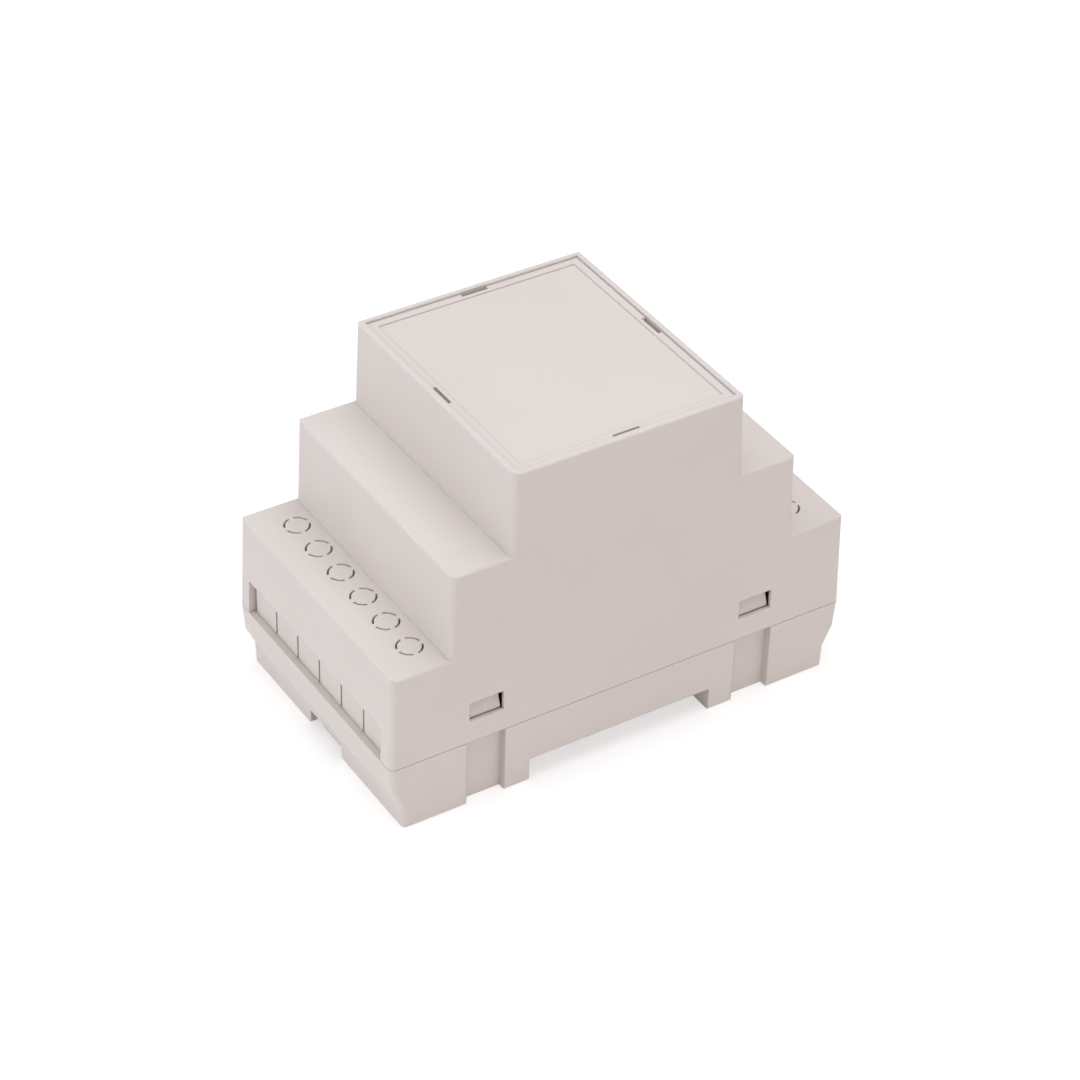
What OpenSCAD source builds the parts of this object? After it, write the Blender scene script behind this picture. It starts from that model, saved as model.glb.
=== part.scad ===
// DIN rail enclosure, three modules wide: a base that grips a 35 mm top-hat rail,
// a stepped cover that snaps over the base, a front panel and a sliding rail latch.
// Millimetres. The feet stand on z = 0, the rail runs along X and the front faces +Z.

/* [Housing] */
// Width over the side walls at the seam, three modules of 17.5 mm
housing_w = 52.5; // [48:0.5:88]
// Length over the end walls at the low step
housing_len = 90; // [87:0.5:100]
// Height from the feet to the rim
housing_h = 65; // [60:0.5:80]
// Height of the seam between the base and the cover
seam_z = 13.5; // [12.5:0.1:15]
// Hairline between the base and the cover at the seam
seam_gap = 0.08; // [0.04:0.02:0.2]
// Radius of the upright corners
corner_r = 1.2; // [0.8:0.1:1.6]
// Rounding of the top and bottom edges
edge_r = 0.4; // [0.2:0.1:0.6]
// Lean of the side walls above the seam, per millimetre of height
side_draft = 0.015; // [0.005:0.005:0.02]
// Lean of the end walls and risers above the seam, per millimetre of height
end_draft = 0.028; // [0.01:0.002:0.034]

/* [Steps] */
// Length of the front at the rim
front_len = 44.6; // [42:0.2:50]
// Height of the middle step
mid_z = 48.8; // [44:0.2:52]
// Length over the middle step
mid_len = 67.4; // [62:0.2:70]
// Height of the low step
low_z = 32.1; // [28:0.1:36]

/* [Walls] */
// Wall of the cover
cover_wall = 1.8; // [1.6:0.1:2.2]
// Wall of the base
base_wall = 1.8; // [1.6:0.1:2.2]
// Floor of the two feet
foot_floor = 2; // [1.5:0.1:2.5]
// Floor over the rail
rail_floor = 2; // [1.5:0.1:2.5]

/* [Base ends] */
// Height at which the toe of the end wall starts to slope out
toe_z = 4.3; // [3.8:0.1:5]
// Height at which the slope meets the upper end wall
waist_z = 8.1; // [7:0.1:9]
// How far the end wall stands in from the seam at the bottom
toe_in = 2.5; // [1.8:0.1:3]
// How far it stands in at the start of the slope
slope_in = 2.3; // [1.7:0.1:2.8]
// How far it stands in at the waist
waist_in = 0.5; // [0.2:0.1:0.8]

/* [Rail grip] */
// Width of the rail
rail_w = 35; // [35:0.1:35.5]
// Thickness of the rail's flange
rail_t = 1; // [1:0.1:1.5]
// Gap between the feet beyond the rail's width
rail_play = 1.8; // [1.4:0.1:2.4]
// Height of the rail's seat above the feet
seat_z = 4.65; // [4.4:0.05:6]
// Clearance under the rail's flange
flange_play = 0.15; // [0.1:0.05:0.3]
// Reach of the fixed hooks over the rail's edge
hook_reach = 1.9; // [1.5:0.1:2.4]
// Width of each fixed hook
hook_w = 9; // [6:0.5:12]
// Distance of the fixed hooks from the middle
hook_x = 12; // [9:0.5:14]

/* [Rail latch] */
// Width of the latch over its wings
latch_w = 14.8; // [12.6:0.2:18]
// Thickness of the latch plate
latch_t = 2; // [1.8:0.1:2.1]
// Height of the latch above the feet
latch_z = 0.8; // [0.7:0.1:0.9]
// Travel of the latch from gripping to free
latch_travel = 3.2; // [3:0.1:3.4]
// Reach of the nose beyond the foot
nose_reach = 3; // [2.5:0.1:3.1]
// Width of the nose
nose_w = 10; // [7:0.5:11]
// Width of the tail in the end wall's notch
tail_w = 6; // [5:0.2:8]
// Distance of the tail's end behind the wall's face
tail_inset = 1; // [0.6:0.1:1.6]
// Sliding clearance round the latch
latch_play = 0.2; // [0.15:0.05:0.3]
// Thickness of the lips that carry the wings
lip_t = 0.9; // [0.8:0.1:1]
// Overlap of each lip and wing
lip_w = 1.4; // [1.2:0.1:1.8]
// Wall round the latch channel
channel_wall = 1.8; // [1.4:0.1:2.2]
// Width of the notch in the end wall
notch_w = 10.8; // [10:0.2:11.4]
// Height of the notch in the end wall
notch_h = 3; // [3:0.1:3.2]
// Rounding of the notch's lower corners
notch_r = 0.8; // [0.4:0.1:1]
// Width of the slits that free the latch's spring fingers
finger_slit = 0.8; // [0.6:0.1:1]
// Thickness of each spring finger
finger_t = 1.6; // [1.2:0.1:1.8]
// Solid plate left beyond each end of a spring finger
finger_root = 2.6; // [2:0.2:4]
// Height of the click bump on each finger
bump_h = 0.35; // [0.2:0.05:0.45]

/* [Snap hooks] */
// Width of the windows in the cover's sides
window_w = 6.6; // [6:0.1:7.4]
// Height of the windows
window_h = 3.8; // [3:0.1:4.5]
// Height of the windows' sills
window_z = 18; // [17:0.1:20]
// Distance of the windows from the middle of the side
window_y = 27.08; // [26.4:0.01:28]
// Thickness of the cover's wall round the windows
window_skin = 0.6; // [0.5:0.1:0.8]
// Clearance round the hooks, also where the cover slides over them
hook_play = 0.1; // [0.08:0.01:0.15]
// Thickness of the hook arms
arm_t = 1.4; // [1.2:0.1:1.8]
// Width of the recesses below the hooks
recess_w = 7.5; // [7.5:0.1:8.4]
// Depth of the recesses below the hooks
recess_d = 1.65; // [1.2:0.05:1.9]
// Height of the lips that centre the cover
tongue_h = 2; // [1.5:0.1:3]
// Thickness of the lips that centre the cover
tongue_t = 1; // [0.8:0.1:1.4]

/* [Cable openings] */
// Number of break-out tabs in each end wall
tab_count = 6; // [3:1:6]
// Pitch of the break-out tabs
tab_pitch = 7.6; // [6:0.1:7.8]
// Height of the break-out panel
tab_h = 6.8; // [5:0.1:9]
// Depth of the break-out panel behind the end wall
tab_recess = 1.3; // [1:0.05:1.4]
// Width of the slits between the tabs
slit_w = 0.45; // [0.35:0.05:0.8]
// Number of round knock-outs in each low step
knockout_count = 6; // [2:1:6]
// Pitch of the knock-outs
knockout_pitch = 7.6; // [6.5:0.1:8]
// Diameter of the knock-outs
knockout_d = 4.75; // [4:0.05:5.5]
// Width of the cut round a knock-out
knockout_cut = 0.35; // [0.3:0.05:0.6]
// Width of the four bridges that hold a knock-out
bridge_w = 0.9; // [0.6:0.1:1.2]
// Distance of the knock-outs from the riser
knockout_setback = 3.6; // [3:0.1:5]

/* [Front panel] */
// Width of the rim round the panel
rim_w = 1.15; // [1:0.05:1.5]
// Clearance round the panel
panel_play = 0.12; // [0.08:0.02:0.2]
// Thickness of the panel
panel_t = 1.6; // [1.4:0.1:2.2]
// Depth of the panel's face below the rim
panel_drop = 0.35; // [0.2:0.05:0.6]
// Width of the ledge that carries the panel
ledge_w = 1.4; // [1.2:0.1:2]
// Margin round the sunk label field
label_margin = 1.5; // [1:0.1:3]
// Depth of the sunk label field
label_depth = 0.2; // [0.1:0.05:0.4]
// Length of the pry notches at the panel's edges
pry_w = 5.1; // [4:0.1:8]
// Depth of the pry notches into the panel
pry_d = 0.75; // [0.5:0.05:1]
// Width of the snap legs under the panel
leg_w = 5; // [4:0.5:7]
// Thickness of the snap legs
leg_t = 1; // [0.8:0.1:1.3]
// Length of the snap legs below the ledge
leg_below = 2; // [1.5:0.1:3]
// Distance of the snap legs from the middle of the side
leg_y = 12; // [8:0.5:14]
// Height of the bead on each snap leg
bead_h = 0.3; // [0.2:0.05:0.4]

/* [Board posts] */
// Distance between the posts across the housing
post_span_x = 37; // [34:0.5:38]
// Distance between the posts along the housing
post_span_y = 71; // [70:0.5:73]
// Diameter of the posts
post_d = 6; // [5:0.1:6.2]
// Pilot bore for a self-tapping screw
post_bore = 2.5; // [2:0.1:3]
// Depth of the pilot bore
post_bore_depth = 6.5; // [5:0.1:7]
// Height of the posts above the feet
post_z = 10; // [9:0.1:12]
// Thickness of the web behind each post
post_web = 1.2; // [1:0.1:1.5]

/* [Hidden] */

shell_grey = [0.86, 0.84, 0.82];
latch_grey = [0.80, 0.78, 0.76];
$fn = 48;

over = 1;                               // how far a cutter runs past what it cuts
nick = 0.02;                            // keeps a corner's arc from grazing its two faces
arc_steps = 4;                          // chords in each small edge rounding

seam_half = housing_len / 2 + end_draft * (low_z - seam_z);
gap_half = (rail_w + rail_play) / 2;
hook_top = seat_z - rail_t - flange_play;

channel_half = latch_w / 2 + latch_play;
channel_top = hook_top + 1.5 * latch_play;
wing_z = lip_t + latch_play;
latch_top = latch_z + latch_t;
plate_end = latch_travel + latch_play + base_wall + toe_in - seam_half;
plate_mouth = -gap_half - latch_play;
finger_end = plate_end + finger_root;
finger_len = plate_mouth - nose_reach - finger_root - finger_end;
finger_mid = finger_end + finger_len / 2;

arm_w = window_w - 6 * hook_play;
arm_top = window_z + window_h + 0.8;
arm_out = half_w(arm_top) - cover_wall - hook_play;
arm_in = arm_out - arm_t;
groove_x = half_w(window_z) - window_skin;
groove_side = 0.8;
recess_x = housing_w / 2 - recess_d;

panel_seat = housing_h - panel_drop - panel_t;
pocket_x = half_w(housing_h) - rim_w;
pocket_y = front_len / 2 - rim_w;
opening_x = pocket_x - ledge_w;
opening_y = pocket_y - ledge_w;

tab_half = tab_count * tab_pitch / 2;
riser_foot = end_half(mid_len, mid_z, low_z);

// Half the width over the side walls at a height above the seam
function half_w(z) = housing_w / 2 - side_draft * (z - seam_z);

// Half the length of a step at a height below its top
function end_half(len, top, z) = len / 2 + end_draft * (top - z);

// Chords of a rounding of radius r about a centre, from angle a to angle b
function arc(centre, r, a, b) =
    [for (i = [0 : arc_steps]) centre + r * [cos(a + (b - a) * i / arc_steps), sin(a + (b - a) * i / arc_steps)]];

// Outline in Y and Z, or X and Z, of a wall pair that leans in from low to high
function leaning_outline(low, z_low, high, z_high, r) = concat(
    [[-low, z_low], [low, z_low]],
    r > 0 ? arc([high - r, z_high - r], r, 0, 90) : [[high, z_high]],
    r > 0 ? arc([r - high, z_high - r], r, 90, 180) : [[-high, z_high]]);

// Outer outline of the base in Y and Z, or its inner one when inset is its wall
function base_half_outline(inset, floor_z) = [
    [seam_half - toe_in - inset, floor_z],
    [seam_half - slope_in - inset, max(toe_z, floor_z + 1)],
    [seam_half - waist_in - inset, waist_z],
    [seam_half - inset, seam_z]];

function mirrored(points) = [for (i = [len(points) - 1 : -1 : 0]) [-points[i][0], points[i][1]]];

// An outline in Y and Z, given a width along X
module along_x(width) {
    rotate([90, 0, 90])
        linear_extrude(width, center = true)
            children();
}

// An outline in X and Z, given a length along Y
module along_y(length) {
    rotate([90, 0, 0])
        linear_extrude(length, center = true)
            children();
}

module both_ends() {
    children();
    mirror([0, 1, 0])
        children();
}

module both_sides() {
    children();
    mirror([1, 0, 0])
        children();
}

// What lies outside a round upright corner, along an edge from low to high
module corner_cut(low, high, below, above) {
    rise = high.z - low.z;
    lean = (high - low) / rise;
    translate(low)
        multmatrix([[1, 0, lean.x, 0], [0, 1, lean.y, 0], [0, 0, 1, 0], [0, 0, 0, 1]])
            translate([nick - corner_r, nick - corner_r, -below])
                linear_extrude(rise + below + above)
                    difference() {
                        square(corner_r + over);
                        circle(corner_r);
                    }
}

// One step of the housing between two heights, with leaning walls
module step_block(len, top, z_low, z_high, inset, r) {
    intersection() {
        along_x(2 * housing_w)
            polygon(leaning_outline(end_half(len, top, z_low) - inset, z_low,
                                    end_half(len, top, z_high) - inset, z_high, r));
        along_y(2 * housing_len)
            polygon(leaning_outline(half_w(z_low) - inset, z_low, half_w(z_high) - inset, z_high, r));
    }
}

// The same step with its four upright corners rounded
module round_step(len, top, z_low) {
    difference() {
        step_block(len, top, z_low, top, 0, edge_r);
        both_sides() both_ends()
            corner_cut([half_w(z_low), end_half(len, top, z_low), z_low],
                       [half_w(top), end_half(len, top, top), top], over, over);
    }
}

module cover_shell() {
    cover_low = seam_z + seam_gap;
    sunk = 3;
    difference() {
        union() {
            round_step(housing_len, low_z, cover_low);
            round_step(mid_len, mid_z, low_z - sunk);
            round_step(front_len, housing_h, mid_z - sunk);
        }
        step_block(housing_len, low_z, cover_low - over, low_z - cover_wall, cover_wall, 0);
        step_block(mid_len, mid_z, low_z - cover_wall - sunk, mid_z - cover_wall, cover_wall, 0);
        step_block(front_len, housing_h, mid_z - cover_wall - sunk, panel_seat - cover_wall, cover_wall, 0);
    }
}

// Window for a snap hook, and the groove behind it that lets the cover slide over the hook
module hook_window() {
    translate([0, window_y - window_w / 2, window_z])
        cube([housing_w, window_w, window_h]);
    translate([arm_in, window_y - window_w / 2 - groove_side, seam_z - over])
        cube([groove_x - arm_in, window_w + 2 * groove_side, arm_top + 1 - seam_z + over]);
}

// Recess in an end wall, whose thin back is slit into break-out tabs
module tab_cut() {
    back = seam_half - tab_recess;
    top = seam_z + tab_h;
    translate([-tab_half, back, seam_z - over])
        cube([2 * tab_half, tab_recess + over, tab_h + over]);
    for (i = [0 : tab_count])
        translate([i * (2 * tab_half - slit_w) / tab_count - tab_half, back - cover_wall, seam_z - over])
            cube([slit_w, cover_wall + over, top - seam_z + over]);
}

// Four arcs cut through the low step round a disc that stays on its bridges
module knockout_cut_ring() {
    translate([0, 0, low_z - cover_wall - over])
        linear_extrude(cover_wall + 2 * over)
            difference() {
                circle(d = knockout_d);
                circle(d = knockout_d - 2 * knockout_cut);
                square([bridge_w, knockout_d + over], center = true);
                square([knockout_d + over, bridge_w], center = true);
            }
}

module knockouts() {
    for (i = [0 : knockout_count - 1])
        translate([(i - (knockout_count - 1) / 2) * knockout_pitch, riser_foot + knockout_setback, 0])
            knockout_cut_ring();
}

// Where the panel lies, the opening under it and the slots for its snap legs
module panel_pocket() {
    slot_w = leg_w + 4 * panel_play;
    slot_x = opening_x + bead_h + panel_play;
    translate([-pocket_x, -pocket_y, panel_seat])
        cube([2 * pocket_x, 2 * pocket_y, housing_h]);
    translate([-opening_x, -opening_y, mid_z])
        cube([2 * opening_x, 2 * opening_y, housing_h]);
    both_ends()
        translate([-slot_x, leg_y - slot_w / 2, mid_z])
            cube([2 * slot_x, slot_w, housing_h]);
}

module cover() {
    color(shell_grey)
        difference() {
            cover_shell();
            both_sides() both_ends()
                hook_window();
            both_ends() {
                tab_cut();
                knockouts();
            }
            panel_pocket();
        }
}

// Arm and catch that rise behind a window of the cover
module snap_hook() {
    catch_z = window_z + hook_play;
    tip = groove_x - hook_play;
    translate([0, window_y, 0]) {
        translate([arm_in, -arm_w / 2, foot_floor])
            cube([arm_t, arm_w, arm_top - foot_floor]);
        along_y(arm_w)
            polygon([[arm_in + arm_t / 2, catch_z], [tip, catch_z], [tip, catch_z + 0.5],
                     [arm_out, arm_top], [arm_in + arm_t / 2, arm_top]]);
    }
}

// Wall behind a recess in the side, which carries the hook's arm
module recess_back() {
    back_w = recess_w + 2 * base_wall;
    translate([arm_in, window_y - back_w / 2, foot_floor / 2])
        cube([housing_w / 2 - base_wall / 2 - arm_in, back_w, seam_z - foot_floor / 2]);
}

module recess_cut() {
    translate([recess_x, window_y - recess_w / 2, -over])
        cube([housing_w, recess_w, seam_z + over + tongue_h / 2]);
    translate([arm_out, window_y - recess_w / 2, seam_z])
        cube([housing_w, recess_w, housing_h]);
}

// Lip inside the side wall that centres the cover, between two places along the wall
module tongue(y_from, y_to) {
    out = half_w(seam_z + tongue_h) - cover_wall - hook_play;
    in = out - tongue_t;
    wall = housing_w / 2 - base_wall / 2;
    slope = wall - in;
    translate([0, (y_from + y_to) / 2, 0])
        along_y(y_to - y_from)
            polygon([[wall, seam_z - tongue_h - slope], [in, seam_z - tongue_h], [in, seam_z + tongue_h],
                     [out - tongue_t / 3, seam_z + tongue_h], [out, seam_z + tongue_h - tongue_t / 3],
                     [out, seam_z], [wall, seam_z]]);
}

module board_post() {
    translate([post_span_x / 2, post_span_y / 2, foot_floor / 2]) {
        cylinder(d = post_d, h = post_z - foot_floor / 2);
        translate([-post_web / 2, 0, 0])
            cube([post_web, seam_half - toe_in - base_wall / 2 - post_span_y / 2, waist_z - foot_floor / 2]);
    }
}

module board_bore() {
    translate([post_span_x / 2, post_span_y / 2, post_z - post_bore_depth])
        cylinder(d = post_bore, h = post_bore_depth + over);
}

// Fixed hook on the rear foot that the rail's edge tucks under
module rail_hook() {
    root = gap_half + base_wall / 2;
    tip = gap_half - hook_reach;
    translate([hook_x, 0, 0])
        along_x(hook_w)
            polygon([[root, 0], [gap_half, 0], [tip, hook_top - 1.2], [tip, hook_top], [root, hook_top]]);
}

module base_block() {
    half = base_half_outline(0, 0);
    difference() {
        intersection() {
            along_x(housing_w)
                polygon(concat(half, mirrored(half)));
            along_y(2 * housing_len)
                rotate(180)
                    polygon(leaning_outline(housing_w / 2, -seam_z, housing_w / 2, 0, edge_r));
        }
        both_sides() both_ends()
            for (i = [0 : 2])
                corner_cut([housing_w / 2, half[i][0], half[i][1]], [housing_w / 2, half[i + 1][0], half[i + 1][1]],
                           i == 0 ? over : 0, i == 2 ? over : 0);
    }
}

// Hollow of the base: two wells in the feet and the raised floor over the rail
module base_hollow() {
    inner = base_half_outline(base_wall, foot_floor);
    hump_half = gap_half + base_wall;
    hump_z = seat_z + rail_floor;
    along_x(housing_w - 2 * base_wall)
        polygon(concat(inner, [[seam_half - base_wall, seam_z + over], [base_wall - seam_half, seam_z + over]],
                       mirrored(inner),
                       [[-hump_half, foot_floor], [-hump_half, hump_z], [hump_half, hump_z], [hump_half, foot_floor]]));
}

// Tunnel in the front foot that the latch slides in
module latch_tunnel() {
    half = channel_half + channel_wall;
    translate([-half, base_wall / 2 + toe_in - seam_half, 0])
        cube([2 * half, seam_half - toe_in - base_wall / 2 - gap_half, channel_top + channel_wall]);
}

module latch_channel() {
    end = seam_half - toe_in - base_wall;
    mouth = gap_half - over;
    lip_half = channel_half - lip_w;
    pocket = channel_half + bump_h;
    bump_y = finger_mid;
    translate([-channel_half, -end, lip_t])
        cube([2 * channel_half, end - mouth, channel_top - lip_t]);
    translate([-lip_half, -end, -over])
        cube([2 * lip_half, end - mouth, lip_t + 2 * over]);
    translate([-pocket, bump_y - latch_travel - 2 * bump_h - over, lip_t])
        cube([2 * pocket, latch_travel + 4 * bump_h + 2 * over, channel_top - lip_t]);
}

// Notch in the end wall that the latch's tail comes out through
module end_notch() {
    translate([0, -seam_half + toe_in + base_wall / 2, 0])
        along_y(2 * base_wall + over) {
            translate([-notch_w / 2, -over])
                square([notch_w, notch_h + over]);
            for (side = [-1, 1])
                scale([side, 1])
                    translate([notch_w / 2, 0])
                        difference() {
                            translate([-over, -over])
                                square([notch_r + over, notch_r + over]);
                            translate([notch_r, notch_r])
                                circle(notch_r);
                        }
        }
}

module base() {
    tongue_gap = recess_w / 2 + base_wall;
    color(shell_grey)
        difference() {
            union() {
                difference() {
                    base_block();
                    base_hollow();
                    translate([-housing_w, -gap_half, -over])
                        cube([2 * housing_w, 2 * gap_half, seat_z + over]);
                }
                both_sides() both_ends() {
                    recess_back();
                    board_post();
                    tongue(window_y + tongue_gap, seam_half - 3 * base_wall);
                }
                both_sides() {
                    tongue(tongue_gap - window_y, window_y - tongue_gap);
                    rail_hook();
                }
                latch_tunnel();
            }
            both_sides() both_ends() {
                recess_cut();
                board_bore();
            }
            latch_channel();
            end_notch();
        }
    color(shell_grey)
        both_sides() both_ends()
            snap_hook();
}

module front_panel() {
    half_x = pocket_x - panel_play;
    half_y = pocket_y - panel_play;
    color(shell_grey)
        difference() {
            union() {
                translate([-half_x, -half_y, panel_seat])
                    cube([2 * half_x, 2 * half_y, panel_t]);
                both_sides() both_ends()
                    snap_leg();
            }
            translate([label_margin - half_x, label_margin - half_y, panel_seat + panel_t - label_depth])
                cube([2 * (half_x - label_margin), 2 * (half_y - label_margin), over]);
            for (side = [-1, 1]) {
                translate([side * half_x, 0, panel_seat])
                    cube([2 * pry_d, pry_w, 4 * panel_t], center = true);
                translate([0, side * half_y, panel_seat])
                    cube([pry_w, 2 * pry_d, 4 * panel_t], center = true);
            }
        }
}

// Leg under the panel whose bead sits just below the ledge
module snap_leg() {
    out = opening_x - panel_play;
    ledge_low = panel_seat - cover_wall;
    bead_z = ledge_low - panel_play;
    low = ledge_low - leg_below;
    translate([0, leg_y, 0])
        along_y(leg_w)
            polygon([[out - leg_t, low], [out - leg_t / 2, low], [out + bead_h, bead_z - 2 * bead_h],
                     [out + bead_h, bead_z - bead_h], [out, bead_z], [out, panel_seat + panel_t / 2],
                     [out - leg_t, panel_seat + panel_t / 2]]);
}

module rail_latch() {
    tail_end = tail_inset + toe_in - seam_half;
    belly_half = channel_half - lip_w - latch_play;
    nose_root = plate_mouth - nose_reach;
    nose_tip = nose_reach - gap_half;
    eye = [tail_w / 2, 1.6];
    color(latch_grey)
        difference() {
            union() {
                translate([-latch_w / 2, plate_end, wing_z])
                    cube([latch_w, plate_mouth - plate_end, latch_top - wing_z]);
                translate([-belly_half, plate_end, latch_z])
                    cube([2 * belly_half, plate_mouth - plate_end, latch_t]);
                translate([-tail_w / 2, tail_end, latch_z])
                    cube([tail_w, plate_end - tail_end + over, latch_t]);
                along_x(nose_w)
                    polygon([[nose_root, latch_z], [plate_mouth, latch_z], [nose_tip, hook_top - 1],
                             [nose_tip, hook_top], [nose_root, hook_top],
                             [nose_root - 2 * (hook_top - latch_top), latch_top]]);
                both_sides()
                    translate([latch_w / 2 + bump_h - finger_t / 2, finger_mid, wing_z])
                        cylinder(d = finger_t, h = latch_top - wing_z);
            }
            both_sides()
                translate([latch_w / 2 - finger_t - finger_slit, finger_end, -over])
                    cube([finger_slit, finger_len, latch_top + 2 * over]);
            translate([-eye.x / 2, tail_end + eye.y, -over])
                cube([eye.x, eye.y, latch_top + 2 * over]);
        }
}

base();
cover();
front_panel();
rail_latch();
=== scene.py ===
# %% [markdown]
# # Dressing a moulded rail housing
#
# The construction model brings four plastic pieces: a base with two feet, a stepped cover, an inset
# front panel and a sliding rail latch. Their shapes are finished, so this lesson is about everything
# that makes a correct solid look like a real moulding: the surface that the steel tool leaves, the
# edges that hands have rubbed, the marks inside that nobody is meant to see, the light and the camera.
# Each step has a cell of words before its cell of code.

# %% Load the moulded pieces
import math
from functools import cached_property

import bmesh
import bpy
from mathutils import Matrix, Vector


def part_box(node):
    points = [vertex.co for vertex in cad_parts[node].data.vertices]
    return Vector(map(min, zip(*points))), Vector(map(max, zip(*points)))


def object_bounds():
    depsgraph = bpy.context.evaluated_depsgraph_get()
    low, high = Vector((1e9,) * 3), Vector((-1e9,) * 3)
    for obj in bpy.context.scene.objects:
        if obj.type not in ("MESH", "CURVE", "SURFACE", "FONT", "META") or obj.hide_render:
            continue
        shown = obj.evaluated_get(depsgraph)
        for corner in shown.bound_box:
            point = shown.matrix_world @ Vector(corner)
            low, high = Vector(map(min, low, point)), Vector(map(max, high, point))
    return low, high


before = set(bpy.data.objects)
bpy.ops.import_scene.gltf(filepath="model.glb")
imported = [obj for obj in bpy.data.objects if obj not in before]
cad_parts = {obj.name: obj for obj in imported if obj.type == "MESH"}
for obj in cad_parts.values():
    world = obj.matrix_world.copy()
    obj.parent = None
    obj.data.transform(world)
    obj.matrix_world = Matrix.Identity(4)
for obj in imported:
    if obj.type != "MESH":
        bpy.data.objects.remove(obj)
cad_low, cad_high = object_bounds()
MM = 0.001
for name, piece in sorted(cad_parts.items()):
    low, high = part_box(name)
    size = (high - low) / MM
    print(f"{name}: {size.x:.1f} x {size.y:.1f} x {size.z:.1f} mm, {len(piece.data.polygons)} faces")

# %% [markdown]
# ## Sums with shader sockets
#
# A procedural finish is mostly arithmetic: a mask is a distance, less a radius, times a strength.
# Adding Math nodes one at a time hides that arithmetic. A small class can wrap a node's output and
# turn Python's own operators into Math nodes, so that a mask reads like the formula it is. Plain
# numbers are still worked out in Python, and colours keep to Mix nodes, because a Math node would
# turn a colour grey.

# %% A socket that can be added, subtracted and multiplied
class Value:
    """An output of a shader node. Python's operators on it add Math nodes."""

    def __init__(self, finish, output):
        self.finish = finish
        self.output = output

    def math(self, operation, *values):
        return self.finish.node("ShaderNodeMath", {"operation": operation}, dict(enumerate(values)))

    def __add__(self, other):
        return self.math("ADD", self, other)

    def __radd__(self, other):
        return self.math("ADD", other, self)

    def __sub__(self, other):
        return self.math("SUBTRACT", self, other)

    def __rsub__(self, other):
        return self.math("SUBTRACT", other, self)

    def __mul__(self, other):
        return self.math("MULTIPLY", self, other)

    def __abs__(self):
        return self.math("ABSOLUTE", self)

    def root(self):
        return self.math("SQRT", self)

    def larger(self, other):
        return self.math("MAXIMUM", self, other)


# %% [markdown]
# ## One way to make any other node
#
# Everything else, such as noise, a bevel or the plastic itself, comes from one method. It takes the
# node's type, its settings and the values or links of its sockets. Settings go first, because some
# of them decide which sockets a node has. The class also holds the two things that every finish
# here starts from: the place on the piece, in the piece's own coordinates, so that a pattern stays
# put when the piece slides, and the direction that the surface faces.

# %% A finish and its nodes
class Finish:
    """The nodes of a material or a world, with the place on the piece and its facing at hand."""

    def __init__(self, owner):
        owner.use_nodes = True
        self.owner = owner
        self.tree = owner.node_tree
        self.tree.nodes.clear()

    @cached_property
    def place(self):
        return self.node("ShaderNodeTexCoord", out="Object")

    @cached_property
    def facing(self):
        return self.node("ShaderNodeTexCoord", out="Normal")

    def node(self, kind, settings=None, sockets=None, out=0):
        made = self.tree.nodes.new(kind)
        for key, value in (settings or {}).items():
            setattr(made, key, value)
        for key, value in (sockets or {}).items():
            if isinstance(value, Value):
                self.tree.links.new(value.output, made.inputs[key])
            else:
                made.inputs[key].default_value = value
        return Value(self, made.outputs[out]) if made.outputs else made

    def axes(self, vector):
        """The X, Y and Z of a vector, as three values."""
        x = self.node("ShaderNodeSeparateXYZ", None, {0: vector})
        return [Value(self, output) for output in x.output.node.outputs]

    def noise(self, size, detail=2.0, roughness=0.5):
        """Noise with bumps of about this size, from 0 to 1."""
        return self.node(
            "ShaderNodeTexNoise",
            None,
            {"Vector": self.place, "Scale": 1 / size, "Detail": detail, "Roughness": roughness},
        )

    def step(self, value, start, end):
        """0 up to start, 1 from end, and a smooth rise between them."""
        return self.node(
            "ShaderNodeMapRange",
            {"interpolation_type": "SMOOTHSTEP"},
            {"Value": value, "From Min": start, "From Max": end},
        )

    def mix(self, mask, first, second):
        """A colour that goes from first, where the mask is 0, to second, where it is 1."""
        return self.node("ShaderNodeMix", {"data_type": "RGBA"}, {0: mask, 6: first, 7: second}, out=2)


# %% [markdown]
# ## Where the edges are painted lighter, and where the surface is hidden
#
# Two masks steer the finish. The first marks the edges, where the colour is painted a little lighter: a
# painted highlight for the light that slightly rounded edges catch. A Bevel node gives the normal that a
# rounded edge would have, and where it turns away from the true normal there is an edge, concave or
# convex. That costs a few extra rays and no geometry, and it also softens the finest edges, which the
# model leaves sharp.
#
# The inside of a shell is a different surface: the core of the tool is only polished, while its
# cavity is spark-eroded. A face is inside where it looks towards the middle of the housing. The dot
# product of its facing and its place, measured from the middle, tells that without any ray.

# %% Edge mask and inside mask
EDGE_ROUND = 0.28 * MM
BEVEL_SAMPLES = 2
EDGE_TURN = (0.01, 0.2)
MIDDLE_HEIGHT = 16 * MM
INSIDE_REACH = (-4 * MM, -9 * MM)


def rounded_normal(finish):
    return finish.node("ShaderNodeBevel", {"samples": BEVEL_SAMPLES}, {"Radius": EDGE_ROUND})


def edge_mask(finish, rounded):
    true_normal = finish.node("ShaderNodeNewGeometry", out="Normal")
    agreement = finish.node(
        "ShaderNodeVectorMath", {"operation": "DOT_PRODUCT"}, {0: rounded, 1: true_normal}, out="Value"
    )
    return finish.step(1 - agreement, *EDGE_TURN)


def inside_mask(finish):
    from_middle = finish.node(
        "ShaderNodeVectorMath", {"operation": "SUBTRACT"}, {0: finish.place, 1: (0, 0, MIDDLE_HEIGHT)}
    )
    outward = finish.node(
        "ShaderNodeVectorMath",
        {"operation": "DOT_PRODUCT"},
        {0: from_middle, 1: finish.facing},
        out="Value",
    )
    return finish.step(outward, *INSIDE_REACH)


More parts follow.
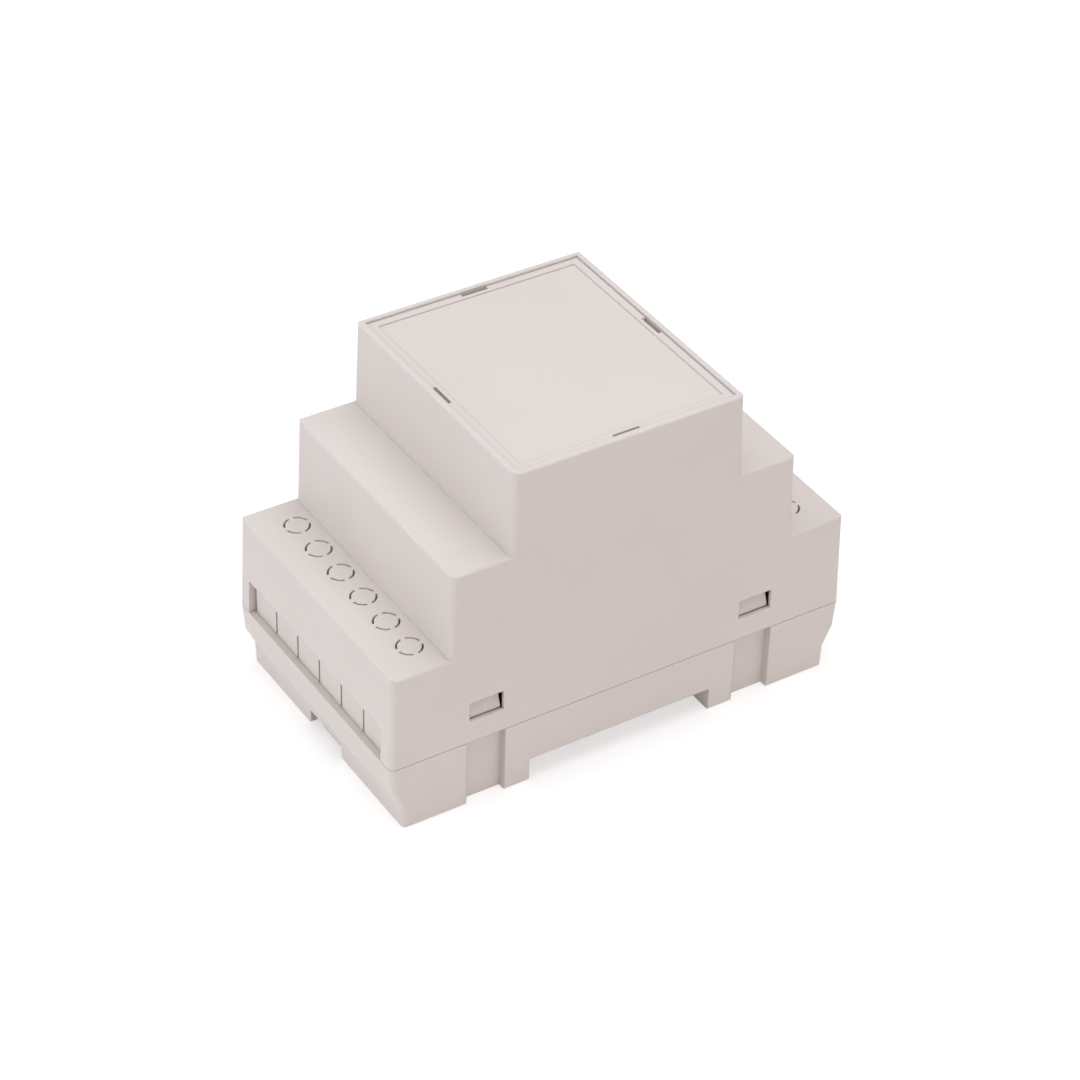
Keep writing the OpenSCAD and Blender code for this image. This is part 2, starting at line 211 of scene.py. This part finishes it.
# %% [markdown]
# ## The spark-eroded skin
#
# Under a loupe the outside of such a case is a field of shallow craters, two or three tenths of a
# millimetre across, which the electrode burned into the tool. They scatter light and give the soft,
# dry sheen. An image could fake them, but a cell pattern and a finer noise added together give the
# same relief at any distance, and need no unwrapping.

# %% Relief of the outer skin
CRATER_SIZE = 0.3 * MM
CRATER_SHARE = 0.6
PIT_SIZE = 0.12 * MM
PIT_SHARE = 0.7


def spark_grain(finish):
    craters = finish.node(
        "ShaderNodeTexVoronoi",
        {"feature": "SMOOTH_F1"},
        {"Vector": finish.place, "Scale": 1 / CRATER_SIZE},
    )
    return craters * CRATER_SHARE + finish.noise(PIT_SIZE, detail=3) * PIT_SHARE


# %% [markdown]
# ## Marks of the mould
#
# Steel pins push a moulding off the core, and each leaves a faint ring about four millimetres wide on
# the inside. They stand in pairs to both sides, so folding the coordinates with an absolute value
# draws up to four marks for the price of one. The ring is a narrow ridge round a disc that sits a
# little lower, made from the distance to the pin's centre. A face that doesn't look along the pin
# gets none.

# %% Ejector pins
PIN_RADIUS = 2.0 * MM
PIN_RIDGE = 0.16 * MM
PIN_SUNK = 0.5
PIN_RELIEF = 3
FACING_PIN = (0.9, 0.98)


def pin_marks(finish, centres, looks):
    """Ridges round the pins at these places and their mirror images; looks is 1 for up, -1 for down."""
    x, y, _ = finish.axes(finish.place)
    _, _, up = finish.axes(finish.facing)
    marks = 0
    for across, along in centres:
        aside, ahead = abs(x) - across, abs(y) - along
        reach = (aside * aside + ahead * ahead).root()
        ridge = 1 - finish.step(abs(reach - PIN_RADIUS), 0, PIN_RIDGE)
        disc = 1 - finish.step(reach, PIN_RADIUS - PIN_RIDGE, PIN_RADIUS)
        marks = marks + (ridge - disc * PIN_SUNK)
    return marks * finish.step(up * looks, *FACING_PIN)


# %% [markdown]
# ## The warm grey plastic
#
# All four pieces are moulded in the same kind of plastic, three of them in a warm light grey. One
# recipe makes the finish, and its arguments hold what differs: the grey itself, how deep the grain
# is, how rough the skin is, and the pins. A slow noise lets the grey drift by a percent or two, as
# pigment does along the flow from the gate, and a fine one gives the faint mottle of the grain. Rare
# specks are dust and regrind. Edges are painted a little lighter, as a painted highlight, and are
# smoother. Inside, the relief is shallower and the surface more glossy.

# %% One recipe for moulded plastic
NOISE_MIDDLE = 0.5
DRIFT_SIZE = 26 * MM
DRIFT_LEVEL = (0.3, 0.7)
DRIFT_SHARE = 0.7
DRIFT_ROUGHNESS = 0.06
MOTTLE_SIZE = 0.45 * MM
MOTTLE_SHARE = 0.3
MOTTLE_ROUGHNESS = 0.12
GREY_LOW, GREY_HIGH = 0.975, 1.02
SPECK_SIZE = 1.7 * MM
SPECK_LEVEL = (0.79, 0.82)
SPECK_STRENGTH = 0.25
SPECK_TINT = 0.72
# Painted highlight along the edges: how much of it is mixed in, and how much lighter it is.
EDGE_HIGHLIGHT_STRENGTH = 0.8
EDGE_HIGHLIGHT_TINT = 1.14
EDGE_POLISH = 0.1
INSIDE_POLISH = 0.12
INSIDE_SMOOTH = 0.7
RELIEF_STRENGTH = 0.35
REFRACTION = 1.5
SPECULAR = 0.4


def tint(colour, factor):
    return (*[channel * factor for channel in colour], 1)


def moulded_plastic(name, colour, grain_depth, roughness, pins=(), looks=1):
    finish = Finish(bpy.data.materials.new(name))
    rounded = rounded_normal(finish)
    edges = edge_mask(finish, rounded)
    inside = inside_mask(finish)

    drift = finish.step(finish.noise(DRIFT_SIZE, detail=3, roughness=0.6), *DRIFT_LEVEL)
    mottle = finish.noise(MOTTLE_SIZE, detail=2)
    shade = drift * DRIFT_SHARE + mottle * MOTTLE_SHARE
    grey = finish.mix(shade, tint(colour, GREY_LOW), tint(colour, GREY_HIGH))
    specks = finish.step(finish.noise(SPECK_SIZE, detail=1), *SPECK_LEVEL)
    grey = finish.mix(specks * SPECK_STRENGTH, grey, tint(colour, SPECK_TINT))
    # Painted highlight: the colour is lighter along every edge that the bevel mask finds.
    grey = finish.mix(edges * EDGE_HIGHLIGHT_STRENGTH, grey, tint(colour, EDGE_HIGHLIGHT_TINT))

    sheen = roughness + (mottle - NOISE_MIDDLE) * MOTTLE_ROUGHNESS
    sheen = sheen + (drift - NOISE_MIDDLE) * DRIFT_ROUGHNESS
    sheen = sheen - edges * EDGE_POLISH - inside * INSIDE_POLISH

    relief = spark_grain(finish) * (1 - inside * INSIDE_SMOOTH)
    if pins:
        relief = relief + pin_marks(finish, pins, looks) * inside * PIN_RELIEF
    normal = finish.node(
        "ShaderNodeBump",
        None,
        {"Strength": RELIEF_STRENGTH, "Distance": grain_depth, "Height": relief, "Normal": rounded},
    )
    surface = finish.node(
        "ShaderNodeBsdfPrincipled",
        None,
        {
            "Base Color": grey,
            "Roughness": sheen,
            "Normal": normal,
            "IOR": REFRACTION,
            "Specular IOR Level": SPECULAR,
        },
    )
    finish.node("ShaderNodeOutputMaterial", None, {"Surface": surface})
    return finish.owner


# %% [markdown]
# ## A grey for each piece
#
# Every object keeps its CAD mesh, and only the material in its slot changes. The base and the cover
# carry the deeper grain of a case. The front panel, which takes a label, has a shallower one and a
# little more sheen, and the latch, a small working part, is darker and smoother still. Each row of
# the table gives a piece the name of its finish, the grey, the grain's depth, the roughness, and,
# where pins have marked the inside, their places and which way it looks.

# %% Put the finishes on the pieces
CASE_GREY = (0.68, 0.628, 0.603)
LATCH_GREY = (0.36, 0.325, 0.31)
CASE_GRAIN = 0.02 * MM
FINE_GRAIN = 0.012 * MM
BASE_PINS = [(8 * MM, 38 * MM), (20 * MM, 26 * MM)]
COVER_PINS = [(20 * MM, 37 * MM), (12 * MM, 27.5 * MM), (0, 37 * MM)]
PANEL_PINS = [(15 * MM, 12 * MM)]
FINISHES = {
    "base": ("case_grain_base", CASE_GREY, CASE_GRAIN, 0.56, BASE_PINS, 1),
    "cover": ("case_grain_cover", CASE_GREY, CASE_GRAIN, 0.56, COVER_PINS, -1),
    "front_panel": ("panel_satin", CASE_GREY, FINE_GRAIN, 0.52, PANEL_PINS, -1),
    "rail_latch": ("latch_satin", LATCH_GREY, FINE_GRAIN, 0.48),
}


def dress(name, material):
    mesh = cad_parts[name].data
    mesh.materials.clear()
    mesh.materials.append(material)
    print(f"{name}: {material.name}, {len(material.node_tree.nodes)} nodes")


for name, recipe in FINISHES.items():
    dress(name, moulded_plastic(*recipe))

# %% [markdown]
# ## The floor
#
# The housing stands on a plain pale floor that should read as white paper without any extra light on
# the plastic. The floor is an ordinary matt surface to the light that bounces off it. Only the rays
# that the camera, a reflection or a refraction sends out see it lifted to white, through the Light
# Path node. The lift is added to the lit surface, so the soft shadow under the feet stays, and
# further out the paper is simply white, like a sweep that runs up behind. Seen from below the floor
# is clear, so that the underside can be looked at. It lies a hair under the feet, because two faces
# in one plane can't both be seen.

# %% A floor that reads as white paper
FLOOR_HALF = 2.0
FLOOR_TONE = 0.98
SHADED_TONE = 0.57
FLOOR_LIFT = 0.55
FADE_TO_PAPER = (0.12, 0.4)
FLOOR_DROP = 0.02 * MM
WHITE = (1, 1, 1, 1)


def ray_is_seen(finish):
    kinds = ["Is Camera Ray", "Is Glossy Ray", "Is Transmission Ray"]
    camera, glossy, through = [finish.node("ShaderNodeLightPath", out=kind) for kind in kinds]
    return camera.larger(glossy).larger(through)


def paper_floor():
    finish = Finish(bpy.data.materials.new("paper_floor"))
    matt = finish.node("ShaderNodeBsdfDiffuse", None, {"Color": (*[FLOOR_TONE] * 3, 1)})
    shaded = finish.node("ShaderNodeBsdfDiffuse", None, {"Color": (*[SHADED_TONE] * 3, 1)})
    lift = finish.node("ShaderNodeEmission", None, {"Color": WHITE, "Strength": FLOOR_LIFT})
    lifted = finish.node("ShaderNodeAddShader", None, {0: shaded, 1: lift})
    paper = finish.node("ShaderNodeEmission", None, {"Color": WHITE, "Strength": 1})
    x, y, _ = finish.axes(finish.place)
    away = finish.step((x * x + y * y).root(), *FADE_TO_PAPER)
    shown = finish.node("ShaderNodeMixShader", None, {0: away, 1: lifted, 2: paper})
    top = finish.node("ShaderNodeMixShader", None, {0: ray_is_seen(finish), 1: matt, 2: shown})
    from_below = finish.node("ShaderNodeNewGeometry", out="Backfacing")
    clear = finish.node("ShaderNodeBsdfTransparent")
    one_sided = finish.node("ShaderNodeMixShader", None, {0: from_below, 1: top, 2: clear})
    finish.node("ShaderNodeOutputMaterial", None, {"Surface": one_sided})
    return finish.owner


shape = bmesh.new()
bmesh.ops.create_grid(shape, x_segments=1, y_segments=1, size=FLOOR_HALF)
bmesh.ops.translate(shape, verts=shape.verts, vec=(0, 0, cad_low.z - FLOOR_DROP))
floor_mesh = bpy.data.meshes.new("floor")
shape.to_mesh(floor_mesh)
shape.free()
floor_mesh.materials.append(paper_floor())
floor = bpy.data.objects.new("floor", floor_mesh)
bpy.context.scene.collection.objects.link(floor)

# %% [markdown]
# ## Soft studio light
#
# Five large soft boxes and an even surround light the case, as a product tent does. A high and a low
# one in front of the latch end light the end walls and risers, and one beside the case lights the
# long side a little less. That difference separates the faces of an object that is all one grey. Two
# boxes above light the steps: a far one evenly, and a near one that lets their tone change slowly
# from one step to the next. Each box is a square area lamp aimed at the middle of the case. Power is
# worked out from the level that a lamp should give on a surface facing it.

# %% Soft boxes and surround
AIM = Vector((0, 0, 30 * MM))
SURROUND = 0.432
SURROUND_TINT = (1, 0.877, 0.867)


def studio_world():
    finish = Finish(bpy.data.worlds.new("studio"))
    grey = finish.node(
        "ShaderNodeBackground", None, {"Color": (*SURROUND_TINT, 1), "Strength": SURROUND}
    )
    white = finish.node("ShaderNodeBackground", None, {"Color": WHITE, "Strength": 1})
    seen = finish.node("ShaderNodeMixShader", None, {0: ray_is_seen(finish), 1: grey, 2: white})
    finish.node("ShaderNodeOutputWorld", None, {"Surface": seen})
    return finish.owner


def direction(turn, rise):
    """Unit vector from the object; turn 0 is in front of the end with the latch, 90 beside +X."""
    turn, rise = math.radians(turn), math.radians(rise)
    return Vector((math.sin(turn) * math.cos(rise), -math.cos(turn) * math.cos(rise), math.sin(rise)))


def soft_box(name, turn, rise, distance, size, level, colour=(1, 1, 1)):
    lamp = bpy.data.lights.new(name, "AREA")
    lamp.shape = "SQUARE"
    lamp.size = size
    lamp.color = colour
    lamp.energy = level * math.pi ** 2 * distance ** 2
    towards = direction(turn, rise)
    holder = bpy.data.objects.new(name, lamp)
    holder.location = AIM + towards * distance
    holder.rotation_euler = towards.to_track_quat("Z", "Y").to_euler()
    bpy.context.scene.collection.objects.link(holder)
    print(f"{name}: {lamp.energy:.2f} W")


bpy.context.scene.world = studio_world()
soft_box("front_box", turn=-20, rise=38, distance=0.9, size=0.6, level=0.044, colour=(0.89, 1.0, 1.0))
soft_box("low_front_box", turn=-10, rise=14, distance=0.8, size=0.5, level=0.313, colour=(0.9, 0.97, 1.0))
soft_box("side_box", turn=90, rise=25, distance=0.9, size=0.6, level=0.168, colour=(1.0, 0.95, 0.86))
soft_box("top_box", turn=180, rise=80, distance=0.9, size=0.7, level=0.185, colour=(0.94, 0.93, 1.0))
soft_box("overhead_box", turn=100, rise=86, distance=0.42, size=0.4, level=0.475, colour=(0.89, 1.0, 1.0))

# %% [markdown]
# ## The camera
#
# The case is seen from its latch end, turned to show the +X side, and from well above. A long lens
# from about 60 cm keeps its edges nearly parallel. The camera's place is built from those angles, and
# the small roll and offset say that it was held by hand rather than set square. The rotation is made
# from three unit vectors: to the right, up, and back from the object.

# %% Camera
CAMERA_TURN = 56.856
CAMERA_RISE = 37.208
CAMERA_ROLL = 1.816
CAMERA_DISTANCE = 592.4 * MM
LENS = 114.57
SENSOR_WIDTH = 36
NEAREST = 50 * MM
OFFSET_RIGHT = -0.512 * MM
OFFSET_UP = -2.391 * MM

back = direction(CAMERA_TURN, CAMERA_RISE)
level_right = Vector((math.cos(math.radians(CAMERA_TURN)), math.sin(math.radians(CAMERA_TURN)), 0))
roll = Matrix.Rotation(math.radians(CAMERA_ROLL), 3, back)
right = roll @ level_right
up = roll @ back.cross(level_right)
lens = bpy.data.cameras.new("camera")
lens.lens = LENS
lens.sensor_width = SENSOR_WIDTH
lens.clip_start = NEAREST
camera = bpy.data.objects.new("camera", lens)
place = AIM + back * CAMERA_DISTANCE + right * OFFSET_RIGHT + up * OFFSET_UP
camera.matrix_world = Matrix.Translation(place) @ Matrix((right, up, back)).transposed().to_4x4()
bpy.context.scene.collection.objects.link(camera)
bpy.context.scene.camera = camera
print("camera at", [round(value, 4) for value in place])

# %% [markdown]
# ## Colours as they are
#
# The Standard view shows a surface at the colour it was given, where a film-like view would grey the
# whites.

# %% Finish
bpy.context.scene.view_settings.view_transform = "Standard"
